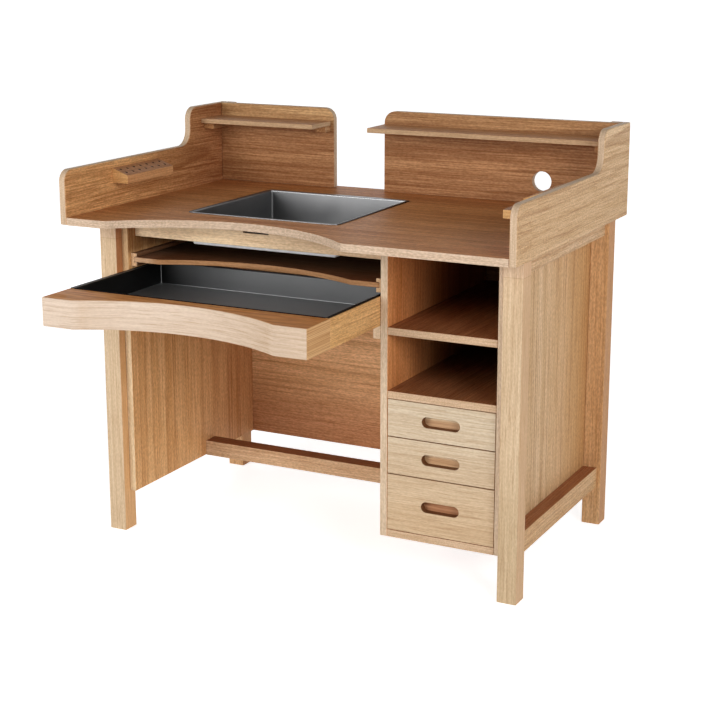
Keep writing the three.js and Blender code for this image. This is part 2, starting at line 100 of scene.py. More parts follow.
def noise(tree, vector, scale, detail, roughness=0.5):
    """Noise with so many waves per metre along each axis of the vector."""
    inputs = {"Vector": scaled(tree, vector, scale), "Scale": 1.0, "Detail": detail, "Roughness": roughness}
    return add_node(tree, "ShaderNodeTexNoise", inputs).outputs["Fac"]


def new_group(name, inputs, outputs):
    """An empty shader node group with named sockets. Returns its tree, what it is given and its result."""
    tree = bpy.data.node_groups.new(name, "ShaderNodeTree")
    for label, kind in inputs.items():
        tree.interface.new_socket(label, in_out="INPUT", socket_type=f"NodeSocket{kind}")
    for label, kind in outputs.items():
        tree.interface.new_socket(label, in_out="OUTPUT", socket_type=f"NodeSocket{kind}")
    return tree, tree.nodes.new("NodeGroupInput").outputs, tree.nodes.new("NodeGroupOutput").inputs


def make_oak_figure():
    """The figure of sawn oak, in a frame with x along the grain, y across the face and z through the board.

    The rings are cylinders about the pith, which lies along x, and a slow noise makes them wander. Each
    ring darkens slowly outwards and ends sharply. Broad bands, fine streaks, dark lines and short pores
    lie along the grain and wander with it, and glued staves each have a tone of their own.
    """
    inputs = {"Place": "Vector", "Pith": "Vector", "Ring Width": "Float", "Ring Depth": "Float",
              "Waviness": "Float", "Line Depth": "Float", "Stave Width": "Float", "Stave Depth": "Float",
              "Light": "Color", "Dark": "Color"}
    outputs = {"Color": "Color", "Roughness": "Float", "Height": "Float"}
    tree, given, result = new_group("oak_figure", inputs, outputs)
    place = vector_maths(tree, "SUBTRACT", given["Place"], given["Pith"])
    part = parts(tree, place)
    wander = maths(tree, "SUBTRACT", noise(tree, place, (1.6, 4.0, 4.0), 2.0), 0.5)
    wander = maths(tree, "MULTIPLY", wander, given["Waviness"])
    bent = {0: part[0], 1: maths(tree, "ADD", part[1], wander), 2: maths(tree, "ADD", part[2], wander)}
    grain = add_node(tree, "ShaderNodeCombineXYZ", bent).outputs[0]

    square = maths(tree, "MULTIPLY_ADD", part[1], part[1], maths(tree, "MULTIPLY", part[2], part[2]))
    radius = maths(tree, "MULTIPLY_ADD", wander, 2.0, maths(tree, "SQRT", square))
    ring = maths(tree, "FRACT", maths(tree, "DIVIDE", radius, given["Ring Width"]))
    late_wood = maths(tree, "MULTIPLY", ramp(tree, ring, 0.35, 0.93), ramp(tree, ring, 0.93, 1.0, 1.0, 0.0))
    patchy = ramp(tree, noise(tree, grain, (1.0, 9.0, 9.0), 1.0), 0.38, 0.62)
    late_wood = maths(tree, "MULTIPLY", maths(tree, "MULTIPLY", late_wood, patchy), given["Ring Depth"])

    bands = noise(tree, grain, (0.7, 14.0, 14.0), 4.0, 0.6)
    streaks = noise(tree, grain, (2.6, 300.0, 300.0), 3.0, 0.7)
    flecks = ramp(tree, noise(tree, grain, (4.5, 290.0, 290.0), 2.0, 0.6), 0.4, 0.6)
    lines = ramp(tree, noise(tree, grain, (1.2, 130.0, 130.0), 4.0, 0.7), 0.53, 0.64)
    fibres = noise(tree, grain, (30.0, 1500.0, 1500.0), 1.0)
    pores = ramp(tree, noise(tree, grain, (16.0, 480.0, 480.0), 1.0), 0.55, 0.67)
    stave_number = maths(tree, "FLOOR", maths(tree, "DIVIDE", part[1], given["Stave Width"]))
    stave = add_node(tree, "ShaderNodeTexWhiteNoise", {"W": stave_number}, noise_dimensions="1D")
    stave = maths(tree, "SUBTRACT", stave.outputs["Value"], 0.5)
    stave = maths(tree, "MULTIPLY", stave, given["Stave Depth"])
    tone = maths(tree, "MULTIPLY_ADD", bands, 1.5, -0.97)
    tone = maths(tree, "MULTIPLY_ADD", streaks, 1.0, tone)
    tone = maths(tree, "MULTIPLY_ADD", flecks, 0.42, maths(tree, "ADD", tone, stave))
    tone = add_node(tree, "ShaderNodeClamp", {0: tone}).outputs[0]

    deep = scaled(tree, given["Dark"], (0.68, 0.56, 0.46))
    colour = blend(tree, tone, given["Dark"], given["Light"])
    colour = blend(tree, late_wood, colour, deep)
    colour = blend(tree, maths(tree, "MULTIPLY", lines, given["Line Depth"]), colour, deep)
    colour = blend(tree, maths(tree, "MULTIPLY", pores, 0.42), colour, deep)
    rough = maths(tree, "MULTIPLY_ADD", pores, 0.14, maths(tree, "MULTIPLY_ADD", tone, -0.1, 0.52))
    height = maths(tree, "SUBTRACT", maths(tree, "MULTIPLY_ADD", fibres, 0.4, streaks), pores)
    for socket, value in (("Color", colour), ("Roughness", rough), ("Height", height)):
        tree.links.new(value, result[socket])
    return tree


def make_board_edges():
    """What changes at a board's edges, told from how far its surface turns away from the face.

    Facing is the surface normal in the board's frame, whose z is square to the face. The narrow edges
    carry a lipping with tones and streaks of its own along them, behind a thin glue line. Rounded arrises
    are rubbed paler, and sawn ends are darker and more golden. Where the end has lines, the streaks turn
    to follow it, and the upper edge is painted browner, as shade. Short open pores speckle all of it.
    """
    inputs = {"Color": "Color", "Place": "Vector", "Facing": "Vector", "Lipped": "Float",
              "End Lines": "Float", "Pore Depth": "Float", "Light": "Color", "Dark": "Color"}
    tree, given, result = new_group("board_edges", inputs, {"Color": "Color"})
    turn = parts(tree, vector_maths(tree, "ABSOLUTE", given["Facing"]))
    edge = maths(tree, "MULTIPLY", ramp(tree, turn[2], 0.35, 0.6, 1.0, 0.0), given["Lipped"])
    glue = maths(tree, "MULTIPLY", ramp(tree, turn[2], 0.6, 0.75), ramp(tree, turn[2], 0.8, 0.95, 1.0, 0.0))
    glue = maths(tree, "MULTIPLY", glue, given["Lipped"])
    arris = maths(tree, "MULTIPLY", ramp(tree, turn[2], 0.1, 0.6), ramp(tree, turn[2], 0.75, 0.99, 1.0, 0.0))
    end = ramp(tree, turn[0], 0.8, 0.95)
    sawn_end = maths(tree, "MULTIPLY", end, maths(tree, "SUBTRACT", 1.0, given["Lipped"]))
    lined_end = maths(tree, "MULTIPLY", end, given["End Lines"])
    # Painted shade: the upper edge of a lined end is made browner.
    shaded_top = maths(tree, "MULTIPLY", ramp(tree, turn[1], 0.8, 0.95), given["End Lines"])

    along = noise(tree, given["Place"], (9.0, 9.0, 420.0), 3.0, 0.6)
    over_end = noise(tree, given["Place"], (9.0, 420.0, 9.0), 3.0, 0.6)
    streaks = maths(tree, "MULTIPLY_ADD", lined_end, maths(tree, "SUBTRACT", over_end, along), along)
    pores = ramp(tree, noise(tree, given["Place"], (120.0, 320.0, 320.0), 1.0), 0.3, 0.7, -0.5, 0.5)
    pores = maths(tree, "MULTIPLY", pores, maths(tree, "MULTIPLY_ADD", edge, -0.35, 1.0))
    pores = maths(tree, "MULTIPLY_ADD", pores, given["Pore Depth"], 0.5)

    lipping = blend(tree, ramp(tree, streaks, 0.3, 0.7), given["Dark"], given["Light"])
    colour = blend(tree, edge, given["Color"], lipping)
    glue, arris = maths(tree, "MULTIPLY", glue, 0.35), maths(tree, "MULTIPLY", arris, 0.22)
    sawn_end = maths(tree, "MULTIPLY", sawn_end, 0.6)
    colour = blend(tree, glue, colour, scaled(tree, colour, (0.6, 0.5, 0.4)))
    colour = blend(tree, arris, colour, given["Light"])
    colour = blend(tree, sawn_end, colour, scaled(tree, colour, (0.86, 0.7, 0.5)))
    colour = blend(tree, shaded_top, colour, scaled(tree, colour, (0.93, 0.64, 0.38)))
    in_pore, beside_pore = scaled(tree, colour, (0.86, 0.84, 0.82)), scaled(tree, colour, (1.13, 1.14, 1.15))
    tree.links.new(blend(tree, pores, in_pore, beside_pore), result["Color"])
    return tree


oak_figure = make_oak_figure()
board_edges = make_board_edges()


def turned(tree, vector, axes):
    """A vector with its parts put in the order of three axis letters."""
    part = parts(tree, vector)
    order = {number: part["xyz".index(letter)] for number, letter in enumerate(axes)}
    return add_node(tree, "ShaderNodeCombineXYZ", order).outputs[0]


def new_material(name):
    """A new material that uses nodes. Returns it with its tree and its shader."""
    material = bpy.data.materials.new(name)
    material.use_nodes = True
    return material, material.node_tree, material.node_tree.nodes["Principled BSDF"]


def shade(tint, facing=None, along=None, start=0.0, end=0.0):
    """A change of a board's tone to a tint, for oak below. Most of these tints are painted shade or light.

    Facing keeps it to the faces that look one way, such as +x. Along makes it grow along an axis, from
    nothing at the start to all of it at the end, in metres.
    """
    return tint, facing, along, start, end


def oak(name, axes, light, dark, pith, edge=None, end_lines=False, ring=0.011, depth=0.4, waviness=0.012,
        lines=0.5, stave=0.06, stave_depth=0.2, through=1.0, pores=1.0, shades=(), shade_edges=False,
        top=None):
    """Satin-lacquered oak. The axes are those along the grain, across the face and through the board.

    The pith is where the heart of the log lay, in that frame, so it sets how the rings cut the face. An
    edge has a light and a dark tone of its own. Through is how fast the figure changes through the board:
    less than 1 where the grain follows a curved face. The shades leave the edges as they are unless these
    are shaded too. A top is a height along the grain with a joint, and the tint of the wood above it.
    """
    material, tree, shader = new_material(name)
    source = add_node(tree, "ShaderNodeTexCoord").outputs
    on_board = turned(tree, source["Object"], axes)
    spot, normal = parts(tree, source["Object"]), parts(tree, source["Normal"])

    def shaded(colour):
        for tint, facing, along, start, end in shades:
            amounts = []
            if along:
                amounts.append(ramp(tree, spot["xyz".index(along)], start, end))
            if facing:
                squarely = 0.8 if facing[0] == "+" else -0.8
                amounts.append(ramp(tree, normal["xyz".index(facing[1])], squarely / 2, squarely))
            amount = maths(tree, "MULTIPLY", *amounts) if len(amounts) > 1 else amounts[0]
            colour = blend(tree, amount, colour, scaled(tree, colour, tint))
        return colour

    place = scaled(tree, on_board, (1.0, 1.0, through))
    figure_values = {"Place": place, "Pith": pith, "Ring Width": ring, "Ring Depth": depth,
                     "Waviness": waviness, "Line Depth": lines, "Stave Width": stave,
                     "Stave Depth": stave_depth, "Light": (*light, 1.0), "Dark": (*dark, 1.0)}
    figure = add_node(tree, "ShaderNodeGroup", figure_values, node_tree=oak_figure).outputs
    edge_place = scaled(tree, on_board, (1.0, 1.0, math.sqrt(through)))
    edge_light, edge_dark = edge or (light, dark)
    edge_values = {"Color": figure["Color"] if shade_edges else shaded(figure["Color"]), "Place": edge_place,
                   "Facing": turned(tree, source["Normal"], axes), "Lipped": 1.0 if edge else 0.0,
                   "End Lines": 1.0 if end_lines else 0.0, "Pore Depth": pores,
                   "Light": (*edge_light, 1.0), "Dark": (*edge_dark, 1.0)}
    colour = add_node(tree, "ShaderNodeGroup", edge_values, node_tree=board_edges).outputs["Color"]
    if shade_edges:
        colour = shaded(colour)
    if top:
        joint, tint = top
        line_width, step = 0.0012, 0.0005
        along = parts(tree, place)[0]
        line = maths(tree, "MULTIPLY", ramp(tree, along, joint - line_width, joint, 0.0, 0.5),
                     ramp(tree, along, joint, joint + line_width, 1.0, 0.0))
        colour = blend(tree, ramp(tree, along, joint, joint + step), colour, scaled(tree, colour, tint))
        colour = blend(tree, line, colour, scaled(tree, colour, (0.6, 0.5, 0.4)))
    relief = {"Height": figure["Height"], "Strength": 0.25, "Distance": 0.0004}
    bump = add_node(tree, "ShaderNodeBump", relief).outputs["Normal"]
    for socket, value in (("Base Color", colour), ("Roughness", figure["Roughness"]), ("Normal", bump)):
        tree.links.new(value, shader.inputs[socket])
    shader.inputs["Specular IOR Level"].default_value = 0.12
    return material


def make_smooth_curves(limit):
    """Shades faces smooth, with an edge kept sharp where its faces meet at more than the limit angle."""
    tree = bpy.data.node_groups.new("smooth_curves", "GeometryNodeTree")
    for in_out in ("INPUT", "OUTPUT"):
        tree.interface.new_socket("Geometry", in_out=in_out, socket_type="NodeSocketGeometry")
    angle = add_node(tree, "GeometryNodeInputMeshEdgeAngle").outputs[0]
    sharp = add_node(tree, "FunctionNodeCompare", {0: angle, 1: limit}, operation="GREATER_THAN").outputs[0]
    mesh = tree.nodes.new("NodeGroupInput").outputs[0]
    inputs = {"Mesh": mesh, "Remove Custom": True, "Edge Sharpness": sharp}
    shaded = add_node(tree, "GeometryNodeSetMeshNormal", inputs, mode="SHARPNESS").outputs[0]
    tree.links.new(shaded, tree.nodes.new("NodeGroupOutput").inputs[0])
    return tree


corner_angle = math.radians(32)
smooth_curves = make_smooth_curves(corner_angle)


def dress(names, material, arris, segments=3):
    """Finishes CAD boards: their triangles are joined to whole faces and their arrises rounded, in metres."""
    for name in names:
        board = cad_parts[name]
        for slot in board.material_slots:
            slot.material = material
        joined = board.modifiers.new("joined", "WELD")
        joined.merge_threshold = 1e-5
        whole = board.modifiers.new("whole_faces", "DECIMATE")
        whole.decimate_type = "DISSOLVE"
        whole.angle_limit = math.radians(0.3)
        curves = board.modifiers.new("smooth_curves", "NODES")
        curves.node_group = smooth_curves
        rounded = board.modifiers.new("arris", "BEVEL")
        rounded.width = arris
        rounded.segments = segments
        rounded.limit_method = "ANGLE"
        rounded.angle_limit = corner_angle
        rounded.harden_normals = True


sides = ("left", "right")
leg_joint, leg_top_tint = 0.7437, (1.03, 1.03, 1.08)
leg_edges = {"left": ((0.84, 0.535, 0.275), (0.68, 0.39, 0.17)),
             "right": ((0.69, 0.46, 0.275), (0.56, 0.34, 0.17))}
# Painted shade: high on the left leg's inner face, and towards the floor on the right leg's front.
leg_shades = {"left": [shade((0.68, 0.5, 0.44), facing="+x", along="z", start=0.6, end=0.68)],
              "right": [shade((0.88, 0.87, 0.83), facing="-y", along="z", start=0.4, end=0.15)]}
for side in sides:
    front_leg_oak = oak(f"front_leg_{side}_oak", "zxy", light=(0.705, 0.545, 0.365), dark=(0.575, 0.41, 0.25),
                        pith=(0.2, 0.13, 0.35), edge=leg_edges[side], ring=0.009, depth=0.25, lines=0.22,
                        stave=0.031, stave_depth=0.08, pores=0.5, shades=leg_shades[side], shade_edges=True,
                        top=(leg_joint, leg_top_tint))
    dress([f"leg_front_{side}"], front_leg_oak, arris=0.0015)
back_leg_oak = oak("back_leg_oak", "zxy", light=(0.77, 0.485, 0.255), dark=(0.61, 0.34, 0.15),
                   pith=(0.6, 0.16, 0.3), edge=((0.62, 0.335, 0.155), (0.47, 0.22, 0.09)), ring=0.009,
                   depth=0.3, stave=0.031)
dress([f"leg_back_{side}" for side in sides], back_leg_oak, arris=0.0015)


# Side rails, stretchers and foot rail
# Solid oak lengths tenoned between the legs: a deep rail under the worktop and a low stretcher at each
# side, and a foot rail across the knee bay. Their grain runs along them. Their tops and other narrow
# faces are painted dark, as shade, and the upper rails are painted paler, as light.

rail_oak = oak("rail_oak", "yzx", light=(0.705, 0.465, 0.252), dark=(0.555, 0.322, 0.142),
               pith=(0.4, 0.9, 0.3), edge=((0.42, 0.175, 0.075), (0.28, 0.095, 0.036)), ring=0.008,
               shades=[shade((1.01, 1.09, 1.25), along="z", start=0.4, end=0.6)])
dress([f"{rail}_{side}" for rail in ("upper_side_rail", "lower_stretcher") for side in sides], rail_oak,
      arris=0.0015)
foot_rail_oak = oak("foot_rail_oak", "xzy", light=(0.73, 0.50, 0.315), dark=(0.57, 0.355, 0.195),
                    pith=(0.1, -0.2, 0.5), edge=((0.34, 0.14, 0.06), (0.22, 0.08, 0.035)), ring=0.009)
dress(["foot_rail"], foot_rail_oak, arris=0.0015)


# Side panels and divider
# Veneered boards with upright grain, set between the legs at the sides and standing beside the knee bay
# as the cabinet's inner wall. Their front edges are lipped in pale oak. They are painted darker towards
# the back and under the worktop, as shade, and the left panel is painted paler, as light on its inner
# face, which stands in shade.

panel_tones = {"left": ((0.94, 0.63, 0.315), (0.70, 0.385, 0.155)),
               "right": ((0.74, 0.525, 0.315), (0.59, 0.38, 0.195))}
panel_edges = {"left": ((0.76, 0.585, 0.375), (0.60, 0.43, 0.25)),
               "right": ((0.735, 0.58, 0.425), (0.575, 0.425, 0.285))}
panel_staves = {"left": 0.3, "right": 0.5}
panel_shades = {"left": [shade((0.78, 0.66, 0.64), along="y", start=0.0, end=0.4),
                         shade((0.5, 0.4, 0.33), facing="+x", along="z", start=0.69, end=0.72),
                         shade((0.82, 0.72, 0.62), facing="-y", along="z", start=0.6, end=0.68)],
                "right": [shade((0.94, 0.8, 0.64), along="y", start=0.0, end=0.4)]}
for side in sides:
    panel_oak = oak(f"panel_{side}_oak", "zyx", *panel_tones[side], pith=(0.6, 0.45, 0.55),
                    edge=panel_edges[side], ring=0.013, lines=0.65, stave=0.029,
                    stave_depth=panel_staves[side], shades=panel_shades[side], shade_edges=True)
    dress([f"side_panel_{side}"], panel_oak, arris=0.0012)

pale_lipping = ((0.70, 0.555, 0.40), (0.55, 0.405, 0.27))
# Painted shade inside the cabinet: the divider's face there is redder and darker, and darker still towards
# the back.
divider_shades = [shade((1.05, 0.76, 0.6), facing="+x"),
                  shade((0.2, 0.16, 0.14), facing="+x", along="y", start=-0.11, end=0.3)]
divider_oak = oak("divider_oak", "zyx", light=(0.80, 0.50, 0.25), dark=(0.585, 0.30, 0.115),
                  pith=(0.9, 0.4, 0.5), edge=pale_lipping, ring=0.012, stave=0.05, shades=divider_shades)
dress(["cabinet_divider"], divider_oak, arris=0.0012)


# Back panel
# A veneered board with level grain that closes the bench behind the knees and the cabinet, let in flush
# between the back legs. It is painted dark inside the cabinet, and darker and redder towards its lower
# edge, as shade.

back_panel_shades = [shade((0.17, 0.14, 0.13), facing="-y", along="x", start=0.19, end=0.2),
                     shade((0.6, 0.455, 0.41), along="z", start=0.34, end=0.12)]
back_panel_oak = oak("back_panel_oak", "xzy", light=(0.98, 0.62, 0.335), dark=(0.71, 0.40, 0.187),
                     pith=(0.3, 0.35, 0.55), edge=pale_lipping, ring=0.014, depth=0.5, lines=0.6,
                     shades=back_panel_shades)
dress(["back_panel"], back_panel_oak, arris=0.001)


# Cabinet boards
# The bottom, the board over the drawers and the shelf of the side cabinet, with grain from front to
# back and a lipped front edge, let into the divider and the side panel. Their dark tone is partly
# painted shade, and they are painted darker still towards the back, as shade inside the cabinet.

cabinet_oak = oak("cabinet_oak", "yxz", light=(0.42, 0.185, 0.08), dark=(0.25, 0.095, 0.036),
                  pith=(0.2, 0.5, 0.2), edge=((0.66, 0.47, 0.315), (0.51, 0.34, 0.20)), ring=0.012,
                  shades=[shade((0.25, 0.2, 0.18), along="y", start=-0.06, end=0.3)])
dress(["cabinet_bottom", "cabinet_fixed_board", "cabinet_shelf"], cabinet_oak, arris=0.0012)


# Front apron
# A solid oak board glued between the left panel and the divider, under the worktop's belly, with a slot
# sawn through it for the bench pin. Its narrow faces and the slot's walls are painted near black, as
# shade, and its pale tone is partly painted light against the worktop's shadow. It is darker towards
# its right end.

apron_oak = oak("apron_oak", "xzy", light=(0.98, 0.77, 0.51), dark=(0.87, 0.65, 0.405), pith=(0.5, 0.4, 0.1),
                edge=((0.07, 0.035, 0.017), (0.04, 0.018, 0.008)), ring=0.009, depth=0.3, lines=0.25,
                pores=0.7, shades=[shade((0.8, 0.75, 0.73), along="x", start=-0.35, end=0.1)])
dress(["front_apron"], apron_oak, arris=0.001)


# Worktop
# A board veneered in narrow strips, with the round belly cut into its front edge and the pan's opening
# through it. The front edge is lipped all along the curve.

worktop_oak = oak("worktop_oak", "xyz", light=(0.71, 0.33, 0.123), dark=(0.42, 0.16, 0.05),
                  pith=(0.15, 0.75, 0.5), edge=((0.67, 0.51, 0.375), (0.54, 0.385, 0.265)), ring=0.016,
                  lines=0.6, stave=0.017, stave_depth=0.3, pores=1.6)
dress(["worktop"], worktop_oak, arris=0.0018)


# Gallery
# Boards that stand round three sides of the worktop: two sides that step up in an S, two backs with a
# gap between them, and battens in the rear corners. Their edges are lipped and well rounded.

gallery_lipping = ((0.66, 0.49, 0.34), (0.52, 0.365, 0.235))
gallery_side_tones = {"left": ((0.98, 0.57, 0.25), (0.505, 0.225, 0.077)),
                      "right": ((0.76, 0.53, 0.31), (0.57, 0.355, 0.18))}
# Painted shade: the left side's inner face darkens towards the back. The faces that look to -x, the left
# side's outer face and the right side's inner face, get tints of their own, and the right side grows paler
# towards the back.
gallery_side_shades = {"left": [shade((0.62, 0.52, 0.54), facing="+x", along="y", start=-0.1, end=0.44),
                                shade((0.8, 0.98, 1.35), facing="-x")],
                       "right": [shade((1.06, 1.08, 1.1), along="y", start=-0.1, end=0.44),
                                 shade((1.0, 0.76, 0.56), facing="-x")]}
# Painted light above the left back's shelf, and painted shade above the right one's.
gallery_back_top_light_and_shade = {"left": (1.2, 1.42, 1.46), "right": (0.84, 0.85, 0.81)}
for side in sides:
    gallery_side_oak = oak(f"gallery_{side}_oak", "yzx", *gallery_side_tones[side], pith=(0.25, 0.98, 0.62),
                           edge=gallery_lipping, ring=0.017, depth=0.55, waviness=0.03, lines=0.6,
                           shades=gallery_side_shades[side])
    dress([f"gallery_side_{side}"], gallery_side_oak, arris=0.0032, segments=4)
    gallery_back_oak = oak(f"gallery_back_{side}_oak", "xzy", light=(0.64, 0.345, 0.16),
                           dark=(0.32, 0.136, 0.052), pith=(0.4, 0.95, 0.6), edge=gallery_lipping,
                           ring=0.016, depth=0.45, lines=0.6,
                           shades=[shade(gallery_back_top_light_and_shade[side], along="z", start=0.96, end=0.985)])
    dress([f"gallery_back_{side}"], gallery_back_oak, arris=0.003, segments=4)
batten_oak = oak("batten_oak", "zxy", light=(0.66, 0.46, 0.27), dark=(0.47, 0.28, 0.135),
                 pith=(0.1, 0.3, 0.2), ring=0.008)
dress([f"gallery_batten_{side}" for side in sides], batten_oak, arris=0.0015)


# Gallery shelves
# Two thin oak shelves along the gallery backs, with paler front edges. They lie on small cleats and an
# end block, which are glued to the gallery.

shelf_oak = oak("shelf_oak", "xyz", light=(0.62, 0.32, 0.15), dark=(0.44, 0.20, 0.085), pith=(0.7, 0.2, 0.4),
                edge=((0.60, 0.40, 0.235), (0.46, 0.28, 0.145)), ring=0.01)
dress([f"gallery_shelf_{side}" for side in sides], shelf_oak, arris=0.0012)
cleat_oak = oak("cleat_oak", "yxz", light=(0.55, 0.31, 0.15), dark=(0.40, 0.20, 0.085), pith=(0.3, 0.2, 0.6),
                ring=0.007)
dress([f"shelf_cleat_{side}" for side in sides] + ["shelf_end_block"], cleat_oak, arris=0.0012)


# Tool blocks
# Oak blocks screwed to the gallery sides, drilled with rows of holes for tools and burs. The holes'
# walls and a thin ring round each are painted near black, as shade inside the holes.

hole_pitch, hole_row_pitch, hole_radius = 0.028, 0.0175, 0.0027
# The reach and the tone of the painted shade round each hole.
hole_shade_reach, hole_shade_tone = (1.25 * hole_radius, 1.55 * hole_radius), (0.035, 0.016, 0.008)


def colour_of(material):
    """A material's tree, its shader's colour socket and the output that feeds it now."""
    socket = material.node_tree.nodes["Principled BSDF"].inputs["Base Color"]
    return material.node_tree, socket, socket.links[0].from_socket


def paint_hole_shade(material, first, lean, rows):
    """Blackens the wood round each drilling line, as far as the painted shade about a hole reaches.

    The lines lean by an angle about y. Seen along them, the holes stand on a grid: so many rows a row
    pitch apart, starting at the first hole, and a hole every pitch along y.
    """
    tree, socket, colour = colour_of(material)
    source = add_node(tree, "ShaderNodeTexCoord").outputs["Object"]
    part = parts(tree, vector_maths(tree, "SUBTRACT", source, first))
    across = maths(tree, "MULTIPLY", part[0], math.cos(lean))
    across = maths(tree, "MULTIPLY_ADD", part[2], math.sin(lean), across)
    row = maths(tree, "ROUND", maths(tree, "DIVIDE", across, hole_row_pitch))
    row = add_node(tree, "ShaderNodeClamp", {0: row, 1: 0.0, 2: rows - 1.0}).outputs[0]
    off_row = maths(tree, "MULTIPLY_ADD", row, -hole_row_pitch, across)
    step = maths(tree, "ROUND", maths(tree, "DIVIDE", part[1], hole_pitch))
    off_step = maths(tree, "MULTIPLY_ADD", step, -hole_pitch, part[1])
    square = maths(tree, "MULTIPLY_ADD", off_row, off_row, maths(tree, "MULTIPLY", off_step, off_step))
    inside = ramp(tree, maths(tree, "SQRT", square), *hole_shade_reach, 1.0, 0.0)
    tree.links.new(blend(tree, inside, colour, hole_shade_tone), socket)


block_fall, block_depth = 0.016, 0.044
block_lean = math.atan2(block_fall, block_depth)
tool_blocks = {"tool_block_left": {"first": (-0.5432, -0.0588, 0.89709), "lean": -block_lean, "rows": 2},
               "tool_block_right": {"first": (0.5432, -0.0588, 0.91409), "lean": block_lean, "rows": 2},
               "tool_block_small": {"first": (0.5262, -0.17475, 0.896), "lean": 0.0, "rows": 1}}
for number, (block, holes) in enumerate(tool_blocks.items()):
    inner_face = "+x" if holes["first"][0] < 0 else "-x"
    block_oak = oak(f"{block}_oak", "yxz", light=(0.56, 0.27, 0.12), dark=(0.38, 0.16, 0.06),
                    pith=(0.8 + 0.3 * number, 0.3, 0.7), edge=((0.85, 0.53, 0.235), (0.67, 0.36, 0.133)),
                    ring=0.007, shades=[shade((0.86, 0.74, 0.78), facing=inner_face)], shade_edges=True)
    paint_hole_shade(block_oak, **holes)
    dress([block], block_oak, arris=0.0007, segments=2)


# Pull-out shelf
# A thin oak board with a curved front. It slides in grooved runners screwed to the bay's walls, which
# are painted dark behind their pale front ends, as shade. The board's dark tone is partly painted shade,
# and it is painted darker still right of its left end and towards the back of its top.

runner_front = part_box("pullout_runner_left")[0][1]
# Painted shade: each runner is dark behind its front end.
runner_shade_start, runner_shade_end = runner_front + 0.001, runner_front + 0.004
runner_oak = oak("runner_oak", "yzx", light=(0.84, 0.64, 0.44), dark=(0.68, 0.47, 0.29), pith=(0.6, 0.5, 0.3),
                 ring=0.007, shades=[shade((0.28, 0.18, 0.13), along="y", start=runner_shade_start, end=runner_shade_end)])
dress([f"pullout_runner_{side}" for side in sides], runner_oak, arris=0.0008, segments=2)
# Painted shade: darker right of the shelf's left end, and towards the back of its top.
pullout_shades = [shade((0.8, 0.65, 0.5), along="x", start=-0.44, end=-0.4),
                  shade((0.4, 0.5, 0.6), facing="+z", along="y", start=-0.1, end=0.03)]
pullout_oak = oak("pullout_oak", "xyz", light=(0.31, 0.155, 0.085), dark=(0.18, 0.083, 0.041),
                  pith=(0.9, 0.6, 0.4), edge=((0.60, 0.385, 0.235), (0.44, 0.26, 0.135)), ring=0.012,
                  shades=pullout_shades, shade_edges=True)
dress(["pullout_shelf"], pullout_oak, arris=0.001)


# Catch drawer
# A thick oak front with the belly's curve, oak sides and back, a thin bottom in grooves and a stop
# block behind. It slides on two runners.

drawer_runner_oak = oak("drawer_runner_oak", "yzx", light=(0.72, 0.52, 0.33), dark=(0.56, 0.36, 0.20),
                        pith=(0.6, 0.5, 0.3), edge=((0.78, 0.60, 0.42), (0.64, 0.46, 0.29)), ring=0.007)
dress([f"drawer_runner_{side}" for side in sides], drawer_runner_oak, arris=0.001, segments=2)
# Painted shade: the front darkens towards the right.
drawer_front_oak = oak("drawer_front_oak", "xzy", light=(0.715, 0.583, 0.472), dark=(0.64, 0.505, 0.39),
                       pith=(0.35, 0.3, 0.15), edge=((0.82, 0.545, 0.295), (0.50, 0.255, 0.10)),
                       end_lines=True, ring=0.01, depth=0.2, lines=0.2, through=0.04, pores=0.25,
                       shades=[shade((0.92, 0.88, 0.82), along="x", start=-0.4, end=0.18)],
                       shade_edges=True)
dress(["drawer_front"], drawer_front_oak, arris=0.0018)
drawer_side_oak = oak("drawer_side_oak", "yzx", light=(0.86, 0.54, 0.245), dark=(0.635, 0.36, 0.143),
                      pith=(0.55, 0.5, 0.35), ring=0.009)
dress([f"drawer_side_{side}" for side in sides], drawer_side_oak, arris=0.001)
drawer_back_oak = oak("drawer_back_oak", "xzy", light=(0.62, 0.33, 0.15), dark=(0.44, 0.20, 0.08),
                      pith=(0.75, 0.5, 0.35), ring=0.009)
dress(["drawer_back", "drawer_stop", "drawer_bottom"], drawer_back_oak, arris=0.001)


# Small drawers
# Three oak fronts cut from one board, each with a finger slot routed through it, on plain boxes with
# thin bottoms that slide on strips. The slots' walls and the lower fronts are painted darker, as shade.
# The box walls seen through the slots are painted paler towards the top, as light, and darker in the
# bottom drawer, as shade.

finger_slot_length, finger_slot_height = 0.093, 0.025
# The tint of the painted shade on a slot's wall, and how far past the slot's outline it fades.
slot_shade_tint, slot_shade_start, slot_shade_end = (0.4, 0.3, 0.24), 0.0002, 0.0007


def paint_slot_shade(material, centre):
    """Paints shade on a finger slot's wall: the wood within the slot's outline, a level line made round and
    thick.
    """
    tree, socket, colour = colour_of(material)
    source = add_node(tree, "ShaderNodeTexCoord").outputs["Object"]
    part = parts(tree, vector_maths(tree, "SUBTRACT", source, centre))
    radius = finger_slot_height / 2
    past = maths(tree, "SUBTRACT", maths(tree, "ABSOLUTE", part[0]), finger_slot_length / 2 - radius)
    past = maths(tree, "MAXIMUM", past, 0.0)
    square = maths(tree, "MULTIPLY_ADD", past, past, maths(tree, "MULTIPLY", part[2], part[2]))
    from_line = maths(tree, "SQRT", square)
    inside = ramp(tree, from_line, radius + slot_shade_start, radius + slot_shade_end, 1.0, 0.0)
    tree.links.new(blend(tree, inside, colour, scaled(tree, colour, slot_shade_tint)), socket)


